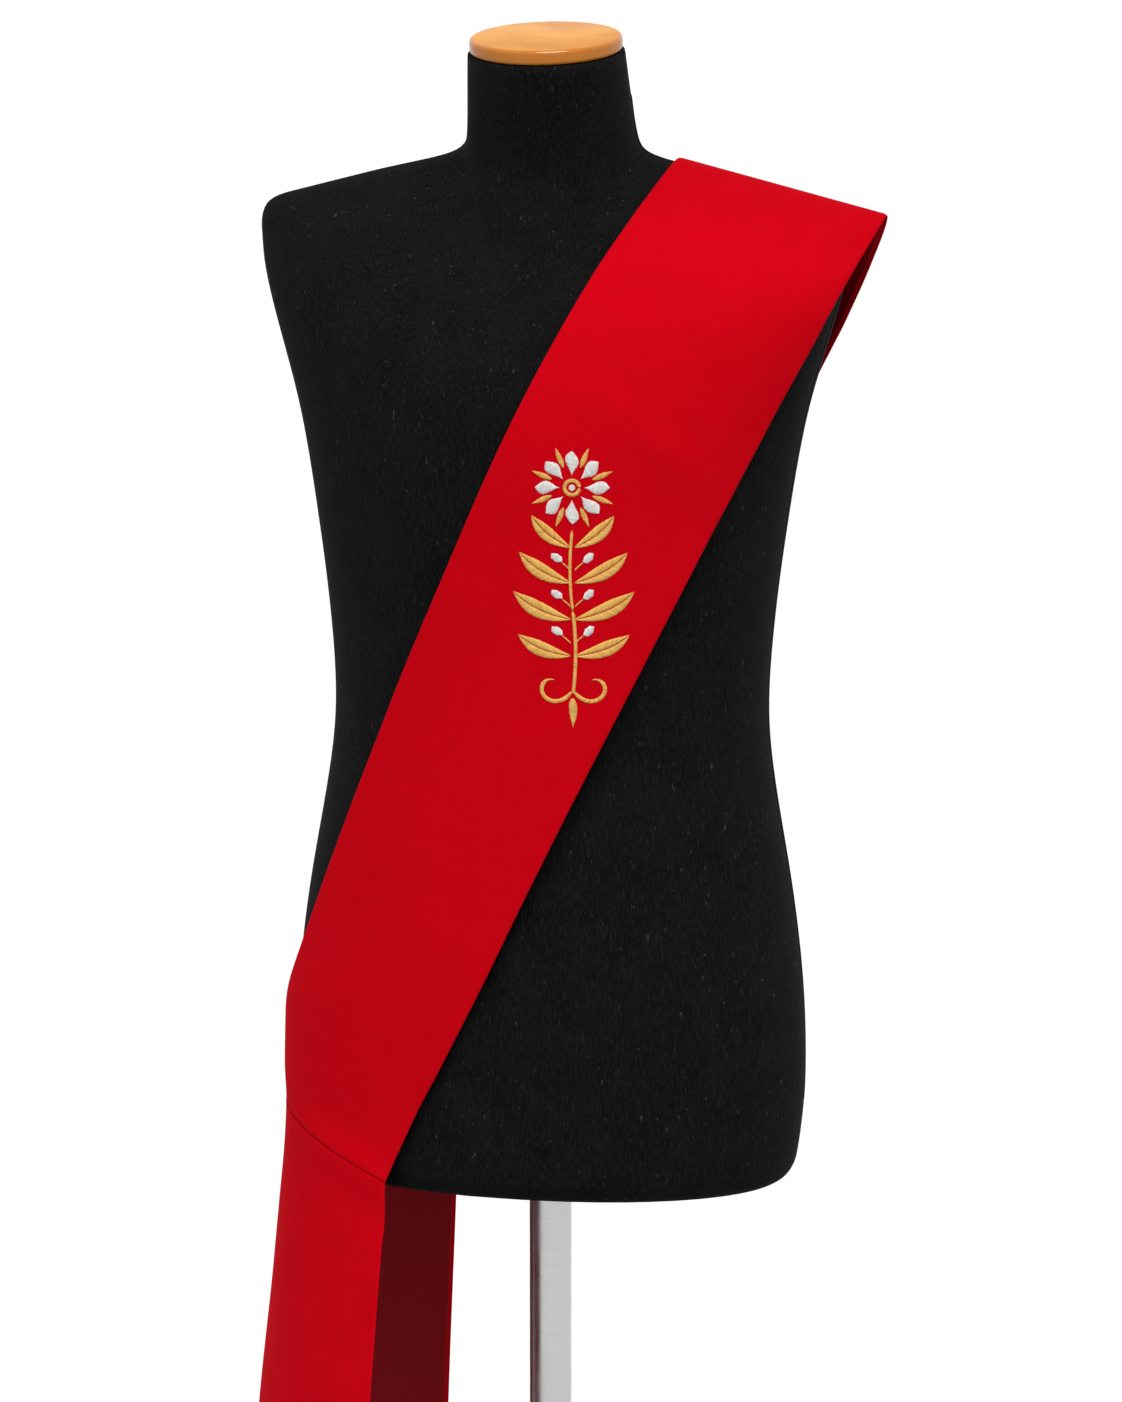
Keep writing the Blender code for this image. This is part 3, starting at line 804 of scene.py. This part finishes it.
def lining_finish():
    """Darker red satin: smooth, with fine lines of thread along the cloth."""
    material, tree, shader = new_finish("red_satin_lining", {
        "Roughness": 0.5, "Specular IOR Level": 0.05})
    place = add_node(tree, "ShaderNodeUVMap", uv_map=CLOTH_MAP).outputs["UV"]
    threads = add_node(tree, "ShaderNodeMapping", {"Vector": place, "Scale": (2400, 60, 1)})
    fine = add_node(tree, "ShaderNodeTexNoise", {
        "Vector": threads.outputs["Vector"], "Scale": 1.0, "Detail": 2.0})
    tree.links.new(mixed_colour(tree, fine.outputs["Fac"], (0.125, 0.0006, 0.0025, 1),
                                (0.175, 0.0010, 0.0040, 1)), shader.inputs["Base Color"])
    relief = add_node(tree, "ShaderNodeBump", {
        "Height": fine.outputs["Fac"], "Strength": 0.3, "Distance": 0.0001})
    tree.links.new(relief.outputs["Normal"], shader.inputs["Normal"])
    return material


red_twill = twill_finish()
red_lining = lining_finish()


def declare_cloth(cloth, node):
    """Put a stole piece in its node's place."""
    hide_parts(node)
    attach(cloth.piece, "root")


mitre_sweep = sweep_of(BAND[-1].outer_drop)
front_band = cloth_piece(
    "front_band_cloth",
    lambda rows, shares: band_underside(SEAM_SWEEP + (mitre_sweep - SEAM_SWEEP) * rows, shares),
    1, FRONT_BAND_CREASES)
declare_cloth(front_band, "front_band")
cloths = [front_band]


# --------------------------------------------------------------------------------------------
# Stole, back band: the same cloth and cut, from the shoulder seam down across the back to the
# side seam and the back mitre.
# --------------------------------------------------------------------------------------------
BACK_BAND_CREASES = (
    Crease(3, 20, 3, 168, 10, 1.3),
    Crease(90, 104, 400, 90, 50, 2.5),
    Crease(30, 60, 44, 170, 18, -0.3),
    Crease(66, 6, 104, 88, 15, 0.5),
    Crease(114, 90, 136, 172, 20, 0.3),
    Crease(160, 10, 222, 84, 18, 0.55),
    Crease(252, 150, 296, 50, 23, 0.4),
    Crease(342, 12, 328, 130, 17, -0.3),
    Crease(394, 100, 446, 168, 19, 0.4),
    Crease(460, 8, 490, 70, 15, 0.35),
    Crease(564, 12, 534, 150, 14, 0.9),
    Crease(618, 60, 600, 168, 21, 0.4),
    Crease(690, 14, 674, 110, 22, 0.35),
    Crease(782, 18, 742, 66, 4.6, 0.24),
    Crease(780, 34, 734, 84, 4.4, 0.20),
    Crease(774, 52, 738, 104, 5.0, 0.16),
)

seam_depth = columns_at(LAY, RIDGE_HEIGHT).back * math.cos(math.radians(BAND[0].outer_turn))
back_start = SEAM_SWEEP - SEAM_GAP / seam_depth
back_band = cloth_piece(
    "back_band_cloth",
    lambda rows, shares: band_underside(back_start + (-mitre_sweep - back_start) * rows, shares),
    -1, BACK_BAND_CREASES)
declare_cloth(back_band, "back_band")
cloths.append(back_band)


# --------------------------------------------------------------------------------------------
# Stole, tails: straight lengths of the same lined cloth, seamed to the bands at the mitres.
# They hang free from the hip and end in plain turned hems.
# --------------------------------------------------------------------------------------------
HEM_HEIGHT = 215
HEM_SIDE_TURN = -84.0
HEM_FRONT_TURN = -30.0
HEM_FLATNESS = 0.6               # 0 keeps the hips' curve at the hem, 1 makes the hem straight
FRONT_TAIL_CREASES = (
    Crease(0, 40, 0, 176, 22, 2.1),          # the top edge stands out with the band's
    Crease(0, 142, 0, 200, 16, 0.8),
    Crease(28, 118, 34, 206, 15, -1.4),      # a pinch under the seam's inner end
    Crease(44, 30, 70, 110, 18, -0.4),
    Crease(96, 150, 190, 118, 20, 0.7),
    Crease(120, 20, 230, 44, 24, -0.8),
    Crease(250, 90, 430, 128, 30, 1.1),
    Crease(300, 36, 520, 24, 26, -0.9),
    Crease(470, 150, 546, 160, 18, 0.8),
)
BACK_TAIL_CREASES = (
    Crease(0, 30, 0, 160, 8, 1.0),
    Crease(18, 40, 22, 166, 10, -1.0),
    Crease(60, 120, 150, 150, 20, 0.7),
    Crease(90, 20, 210, 60, 24, -0.8),
    Crease(240, 140, 400, 104, 28, 1.0),
    Crease(330, 30, 530, 40, 27, -1.1),
    Crease(450, 96, 546, 120, 20, 0.7),
)


def tail_underside(side, rows, shares):
    """A tail's underside: a row for each share of its length, at shares of its width."""
    mitre_sweeps = np.full(len(rows), side * mitre_sweep)
    mitre = band_underside(mitre_sweeps, shares)
    down = rows[:, None]
    start = SIDE_TURN + (BAND[-1].outer_turn - SIDE_TURN) * shares
    hem = HEM_SIDE_TURN + (HEM_FRONT_TURN - HEM_SIDE_TURN) * shares
    height = (mitre[..., 2] - SEAM_GAP) * (1 - down) + HEM_HEIGHT * down
    curved = ring_points(start + (hem - start) * down, height, side)
    edges = band_underside(mitre_sweeps, np.tile([0.0, 1.0], (len(rows), 1)))
    ends = ring_points(
        np.stack([SIDE_TURN + (HEM_SIDE_TURN - SIDE_TURN) * rows,
                  BAND[-1].outer_turn + (HEM_FRONT_TURN - BAND[-1].outer_turn) * rows], axis=1),
        (edges[..., 2] - SEAM_GAP) * (1 - down) + HEM_HEIGHT * down, side)
    straight = ends[:, :1] + (ends[:, 1:] - ends[:, :1]) * shares[..., None]
    return curved + (straight - curved) * (HEM_FLATNESS * down)[..., None]


for tail_name, side, creases in (("front_tail", 1, FRONT_TAIL_CREASES),
                                 ("back_tail", -1, BACK_TAIL_CREASES)):
    tail = cloth_piece(
        tail_name + "_cloth",
        lambda rows, shares, side=side: tail_underside(side, rows, shares),
        side, creases, hemmed=True)
    declare_cloth(tail, tail_name)
    cloths.append(tail)


# --------------------------------------------------------------------------------------------
# Lining's stitches: the satin is slip-stitched to the turned-in twill by hand, with a slanted
# stitch of red thread every few millimetres along its edges.
# --------------------------------------------------------------------------------------------
SLIP_PITCH = 5.5
SLIP_REACH = 2.4
SLIP_THREAD = 0.45
SLIP_RISE = 0.3
THREAD_TONE = "thread_tone"

Line = namedtuple("Line", "places ways outs sizes")


def guide_mesh(name, lines):
    """Open lines of points, which carry the way, facing and size of the stitches on them."""
    places = np.concatenate([np.array(line.places) for line in lines])
    edges = [(point, point + 1) for point in range(len(places) - 1)]
    ends = set(np.cumsum([len(line.places) for line in lines]) - 1)
    mesh = bpy.data.meshes.new(name)
    mesh.from_pydata(places.tolist(), [edge for edge in edges if edge[0] not in ends], [])
    for title, rows in (("way", "ways"), ("out", "outs"), ("size", "sizes")):
        values = np.concatenate([np.array(getattr(line, rows)) for line in lines])
        layer = mesh.attributes.new(title, "FLOAT_VECTOR", "POINT")
        layer.data.foreach_set("vector", values.astype(float).ravel())
    return mesh


def stitching_tree():
    """Geometry Nodes that sew a stitch at every pitch of a guide's lines."""
    tree = bpy.data.node_groups.new("stitching", "GeometryNodeTree")
    sockets = tree.interface
    sockets.new_socket("Guide", in_out="INPUT", socket_type="NodeSocketGeometry")
    for title, kind in (("Pitch", "NodeSocketFloat"), ("Thread width", "NodeSocketFloat"),
                        ("Thread", "NodeSocketMaterial"), ("Seed", "NodeSocketInt")):
        sockets.new_socket(title, in_out="INPUT", socket_type=kind)
    sockets.new_socket("Stitches", in_out="OUTPUT", socket_type="NodeSocketGeometry")
    given = add_node(tree, "NodeGroupInput").outputs

    rod = add_node(tree, "GeometryNodeMeshCylinder", {
        "Vertices": 5, "Side Segments": 6, "Radius": 0.5, "Depth": 1.0}, fill_type="NONE")
    lying = add_node(tree, "GeometryNodeTransform", {
        "Geometry": rod.outputs["Mesh"], "Rotation": (0, math.pi / 2, 0)})
    along = add_node(tree, "ShaderNodeSeparateXYZ", {
        "Vector": add_node(tree, "GeometryNodeInputPosition").outputs["Position"]})
    steep = add_node(tree, "ShaderNodeMath", {
        "Value": add_node(tree, "ShaderNodeMath", {
            "Value": along.outputs["X"], "Value_001": 2.0}, operation="MULTIPLY").outputs[0],
        "Value_001": 4.0}, operation="POWER")
    rise = add_node(tree, "ShaderNodeMath", {
        "Value": 0.5, "Value_001": steep.outputs[0]}, operation="SUBTRACT")
    arched = add_node(tree, "GeometryNodeSetPosition", {
        "Geometry": lying.outputs["Geometry"], "Offset": add_node(
            tree, "ShaderNodeCombineXYZ", {"Z": rise.outputs[0]}).outputs["Vector"]})
    smooth = add_node(tree, "GeometryNodeSetShadeSmooth", {
        "Geometry": arched.outputs["Geometry"]})

    line = add_node(tree, "GeometryNodeMeshToCurve", {"Mesh": given["Guide"]})
    sewn = add_node(tree, "GeometryNodeResampleCurve", {
        "Curve": line.outputs["Curve"], "Length": given["Pitch"]}, mode="LENGTH")
    carried = {title: add_node(tree, "GeometryNodeInputNamedAttribute", {"Name": title},
                               data_type="FLOAT_VECTOR").outputs["Attribute"]
               for title in ("way", "out", "size")}
    turn = add_node(tree, "FunctionNodeAxesToRotation", {
        "Primary Axis": carried["out"], "Secondary Axis": carried["way"]},
        primary_axis="Z", secondary_axis="X")
    size = add_node(tree, "ShaderNodeSeparateXYZ", {"Vector": carried["size"]})
    uneven = add_node(tree, "FunctionNodeRandomValue", {
        "Min_001": 0.97, "Max_001": 1.05, "Seed": given["Seed"]}, data_type="FLOAT")
    reach = add_node(tree, "ShaderNodeMath", {
        "Value": size.outputs["X"], "Value_001": socket_of(uneven.outputs, "Value_001")},
        operation="MULTIPLY")
    scale = add_node(tree, "ShaderNodeCombineXYZ", {
        "X": reach.outputs[0], "Y": given["Thread width"], "Z": size.outputs["Y"]})
    stitches = add_node(tree, "GeometryNodeInstanceOnPoints", {
        "Points": sewn.outputs["Curve"], "Instance": smooth.outputs["Geometry"],
        "Rotation": turn.outputs["Rotation"], "Scale": scale.outputs["Vector"]})
    tone = add_node(tree, "FunctionNodeRandomValue", {"Seed": given["Seed"]}, data_type="FLOAT")
    toned = add_node(tree, "GeometryNodeStoreNamedAttribute", {
        "Geometry": stitches.outputs["Instances"], "Name": THREAD_TONE,
        "Value": socket_of(tone.outputs, "Value_001")}, data_type="FLOAT", domain="INSTANCE")
    real = add_node(tree, "GeometryNodeRealizeInstances", {
        "Geometry": toned.outputs["Geometry"]})
    finished = add_node(tree, "GeometryNodeSetMaterial", {
        "Geometry": real.outputs["Geometry"], "Material": given["Thread"]})
    add_node(tree, "NodeGroupOutput", {
        next(item.identifier for item in sockets.items_tree if item.name == "Stitches"):
        finished.outputs["Geometry"]})
    return tree


def rayon_finish(name, deep, light, roughness):
    """Glossy rayon thread, each stitch a little lighter or darker than the next."""
    material, tree, shader = new_finish(name, {"Roughness": roughness,
                                               "Specular IOR Level": 0.35})
    tone = add_node(tree, "ShaderNodeAttribute", attribute_name=THREAD_TONE,
                    attribute_type="GEOMETRY").outputs["Fac"]
    tree.links.new(mixed_colour(tree, tone, deep, light), shader.inputs["Base Color"])
    return material


stitching = stitching_tree()
red_thread = rayon_finish("red_thread", (0.17, 0.0006, 0.0030, 1), (0.26, 0.0010, 0.0050, 1), 0.6)
for seed, cloth in enumerate(cloths):
    slips = [Line(edge.places * MM, edge.ways, edge.outs,
                  np.tile((SLIP_REACH * MM, SLIP_RISE * MM, 0), (len(edge.places), 1)))
             for edge in cloth.lining_edges]
    sewing = sewn_piece(cloth.piece.name + "_slip_stitches",
                        guide_mesh(cloth.piece.name + "_lining_edge", slips), stitching, {
                            "Pitch": SLIP_PITCH * MM, "Thread width": SLIP_THREAD * MM,
                            "Thread": red_thread, "Seed": seed})
    sewing.parent = cloth.piece
    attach(sewing, "root")


# --------------------------------------------------------------------------------------------
# Embroidery: padded satin stitch in gold and white rayon, sewn by machine through the face
# cloth and its interlining before the stole is made up: a rosette above a sprig of olive.
# --------------------------------------------------------------------------------------------
EMBLEM_PLACE = (46, 1194)        # its middle: across the figure, and height
STITCH_PITCH = 0.55
THREAD_WIDTH = 1.15              # of the pitch, so that neighbours close up
THREAD_RISE = (0.55, 0.075)      # of a stitch over the cloth, and more for each mm of its length
SPINE_STEP = 1.5
VEIN_GAP = 0.2                   # bare line along a leaf's vein
ROSETTE_HEIGHT = 68              # of its middle over the emblem's
OUTWARDS = -1                    # the embroidery faces -Y
GOLD, WHITE = "gold", "white"

# A shape of satin stitch: where its spine starts, which way it heads, how far it bends on its
# way, with curl above 0 if it bends harder towards its end; the share of its length where it
# is fullest and how blunt its ends are; the side of the spine that it is sewn on (0 is both);
# and the slant of its stitches. Sizes are in millimetres and angles in degrees.
Shape = namedtuple(
    "Shape", "thread x z heading bend curl length half_width fullest blunt side slant")
Pair = namedtuple("Pair", "height length half_width heading olives")
LEAF_PAIRS = (
    Pair(24, 37, 5.0, 24, False),
    Pair(-2, 44, 5.6, 15, True),
    Pair(-29, 47, 5.9, 10, True),
    Pair(-56, 42, 5.4, 6, True),
)


def rosette():
    """Eight white petals with gold darts between them, round a gold ring with a white dot."""
    shapes = [
        Shape(GOLD, 5.4, ROSETTE_HEIGHT, 90, 360, 0, 2 * math.pi * 5.4, 1.4, 0.5, 1e6, 0, 12),
        Shape(WHITE, 0, ROSETTE_HEIGHT - 2.6, 90, 0, 0, 5.2, 2.4, 0.5, 1.3, 0, 0)]
    for petal in range(8):
        for thread, turn, start, length, half_width, fullest in (
                (WHITE, 0, 8.8, 18, 5.0, 0.62), (GOLD, 22.5, 15.5, 16, 2.0, 0.42)):
            angle = 90 + 45 * petal + turn
            across, up = (math.cos(math.radians(angle)), math.sin(math.radians(angle)))
            shapes.append(Shape(thread, start * across, ROSETTE_HEIGHT + start * up, angle, 0, 0,
                                length, half_width, fullest, 1, 0, 14))
    return shapes


def sprig():
    """A gold stem with four pairs of veined leaves, white olives, two scrolls and a tip."""
    shapes = [
        Shape(GOLD, 0, 37, -97, 14, 0, 60, 1.1, 0.5, 7, 0, 25),
        Shape(GOLD, 0, -22.5, -83, -14, 0, 62, 1.3, 0.5, 7, 0, 25),
        Shape(GOLD, 0, -87, -90, 0, 0, 22, 3.2, 0.36, 1, 0, 18)]
    for way in (1, -1):
        def turned(angle, way=way):
            """A heading on this side of the stem, mirrored on the other."""
            return angle if way > 0 else 180 - angle

        shapes.append(Shape(GOLD, way * 0.6, -82, turned(-58), way * 265, 0.55, 44, 1.5, 0.4,
                            2, 0, 20))
        for pair in LEAF_PAIRS:
            for side in (1, -1):
                shapes.append(Shape(GOLD, way * 1.4, pair.height, turned(pair.heading), way * 36,
                                    0.4, pair.length, pair.half_width, 0.45, 1, side, 38))
            if not pair.olives:
                continue
            shapes.append(Shape(GOLD, way * 1.3, pair.height + 9, turned(50), way * -14, 0, 9,
                                0.5, 0.5, 7, 0, 20))
            shapes.append(Shape(WHITE, way * 7.4, pair.height + 15.4, turned(34), way * 10, 0, 10,
                                2.9, 0.5, 1.25, 0, 14))
    return shapes


def stitched_line(shape):
    """Middles, directions and lengths of a shape's stitches, flat, one row for each of them."""
    share = np.linspace(0, 1, max(6, round(shape.length / SPINE_STEP)) + 1)
    heading = np.radians(shape.heading
                         + shape.bend * (share + shape.curl * (share**2 - share)))
    course = np.stack([np.cos(heading), np.sin(heading)], axis=1)
    step = shape.length / (len(share) - 1)
    spine = np.concatenate([[[0, 0]], np.cumsum((course[1:] + course[:-1]) / 2 * step, axis=0)])
    spine = spine + (shape.x, shape.z)
    fullness = np.sin(math.pi * share ** (math.log(0.5) / math.log(shape.fullest)))
    half_width = shape.half_width * np.minimum(1, shape.blunt * np.abs(fullness))
    lean = (shape.side or 1) * math.radians(90 - shape.slant)
    thread = np.stack([course[:, 0] * math.cos(lean) - course[:, 1] * math.sin(lean),
                       course[:, 0] * math.sin(lean) + course[:, 1] * math.cos(lean)], axis=1)
    reach = half_width / math.cos(math.radians(shape.slant)) * (1 if shape.side else 2)
    if shape.side:
        spine = spine + thread * (VEIN_GAP + reach / 2)[:, None]
    return spine, thread, reach


def laid_line(shape, surface):
    """A shape's stitches laid on the cloth from in front of it, for a guide."""
    line = Line([], [], [], [])
    for middle, thread, reach in zip(*stitched_line(shape)):
        above = Vector(((EMBLEM_PLACE[0] + middle[0]) * MM, OUTWARDS,
                        (EMBLEM_PLACE[1] + middle[1]) * MM))
        place, out = surface.ray_cast(above, Vector((0, -OUTWARDS, 0)))[:2]
        slope = -(thread[0] * out.x + thread[1] * out.z) / out.y
        line.places.append(place)
        line.ways.append(Vector((thread[0], slope, thread[1])).normalized())
        line.outs.append(out)
        line.sizes.append((reach * MM, (THREAD_RISE[0] + THREAD_RISE[1] * reach) * MM, 0))
    return line


band_surface = BVHTree.FromObject(front_band.piece, bpy.context.evaluated_depsgraph_get())
emblem = rosette() + sprig()
for thread, finish, seed in (
        (GOLD, rayon_finish("gold_rayon", (0.36, 0.185, 0.028, 1), (0.50, 0.29, 0.062, 1), 0.42),
         11),
        (WHITE, rayon_finish("white_rayon", (0.40, 0.39, 0.37, 1), (0.52, 0.51, 0.49, 1), 0.45),
         12)):
    guide = guide_mesh(thread + "_lines", [
        laid_line(shape, band_surface) for shape in emblem if shape.thread == thread])
    embroidery = sewn_piece(thread + "_embroidery", guide, stitching, {
        "Pitch": STITCH_PITCH * MM, "Thread width": STITCH_PITCH * THREAD_WIDTH * MM,
        "Thread": finish, "Seed": seed})
    embroidery.parent = front_band.piece
    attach(embroidery, "root")


# --------------------------------------------------------------------------------------------
# Studio: a wide pale floor, an even white sky, and one broad soft lamp high in front of the
# figure, a little to its left. The camera stands on the same side, higher than the figure.
# --------------------------------------------------------------------------------------------
FLOOR_RADIUS = 60.0
FLOOR_SIDES = 96
CAMERA_DISTANCE = 4.4
CAMERA_AZIMUTH = math.radians(13)
CAMERA_ELEVATION = math.radians(10)
CAMERA_TARGET = Vector((0.006, 0.0094, 1.08))
CAMERA_LENS = 150
LAMP_STRENGTH = 4.4
LAMP_BREADTH = math.radians(35)  # seen from the figure
LAMP_DIRECTION = Vector((-0.20, 0.49, -0.848))
SKY_STRENGTH = 1.15

floor_mesh = bpy.data.meshes.new("floor")
floor_shape = bmesh.new()
bmesh.ops.create_circle(floor_shape, cap_ends=True, segments=FLOOR_SIDES, radius=FLOOR_RADIUS)
floor_shape.to_mesh(floor_mesh)
floor_shape.free()
floor_mesh.materials.append(new_finish("pale_floor", {
    "Base Color": (0.45, 0.45, 0.45, 1), "Roughness": 0.9, "Specular IOR Level": 0.0})[0])
floor = bpy.data.objects.new("floor", floor_mesh)
scene.collection.objects.link(floor)

sky = bpy.data.worlds.new("white_sky")
sky.use_nodes = True
sky.node_tree.nodes["Background"].inputs["Color"].default_value = (1, 1, 1, 1)
sky.node_tree.nodes["Background"].inputs["Strength"].default_value = SKY_STRENGTH
scene.world = sky

light = bpy.data.lights.new("key_lamp", "SUN")
light.energy = LAMP_STRENGTH
light.angle = LAMP_BREADTH
key_lamp = bpy.data.objects.new("key_lamp", light)
key_lamp.rotation_euler = LAMP_DIRECTION.to_track_quat("-Z", "Y").to_euler()
scene.collection.objects.link(key_lamp)

camera = bpy.data.objects.new("camera", bpy.data.cameras.new("camera"))
camera.data.lens = CAMERA_LENS
camera.data.clip_end = 4 * FLOOR_RADIUS
back_from_target = Vector((math.sin(CAMERA_AZIMUTH) * math.cos(CAMERA_ELEVATION),
                           -math.cos(CAMERA_AZIMUTH) * math.cos(CAMERA_ELEVATION),
                           math.sin(CAMERA_ELEVATION)))
camera.location = CAMERA_TARGET + back_from_target * CAMERA_DISTANCE
camera.rotation_euler = (-back_from_target).to_track_quat("-Z", "Y").to_euler()
scene.collection.objects.link(camera)
scene.camera = camera
scene.view_settings.view_transform = "Standard"
